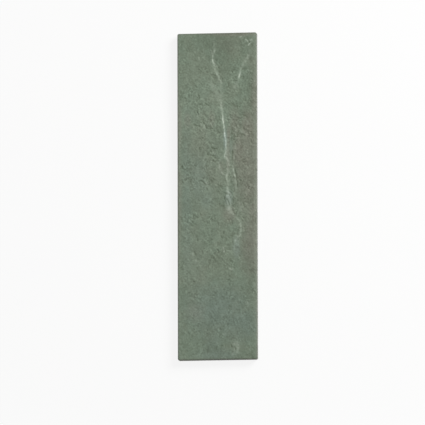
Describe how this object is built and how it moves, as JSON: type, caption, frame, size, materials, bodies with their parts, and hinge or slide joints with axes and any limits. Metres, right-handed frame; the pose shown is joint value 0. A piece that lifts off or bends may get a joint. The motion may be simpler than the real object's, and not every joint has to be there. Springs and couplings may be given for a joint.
{
  "type": "ceramic tile",
  "caption": "Long brick-format wall tile in matte sage green porcelain, with a riven slate-effect face, pressed edges and a keyed back.",
  "frame": {"origin": "centre of the bed plane at the back of the tile, which the tips of the keying ribs make", "axes": "+X across the tile's width, +Y along its length, +Z out of the riven face"},
  "size_m": [0.073, 0.3, 0.0085],
  "materials": {
    "matte_ceramic": "matte sage green, riven, with paler worn clefts"
  },
  "bodies": {
    "root": {"tile": "matte_ceramic"}
  },
  "joints": []
}
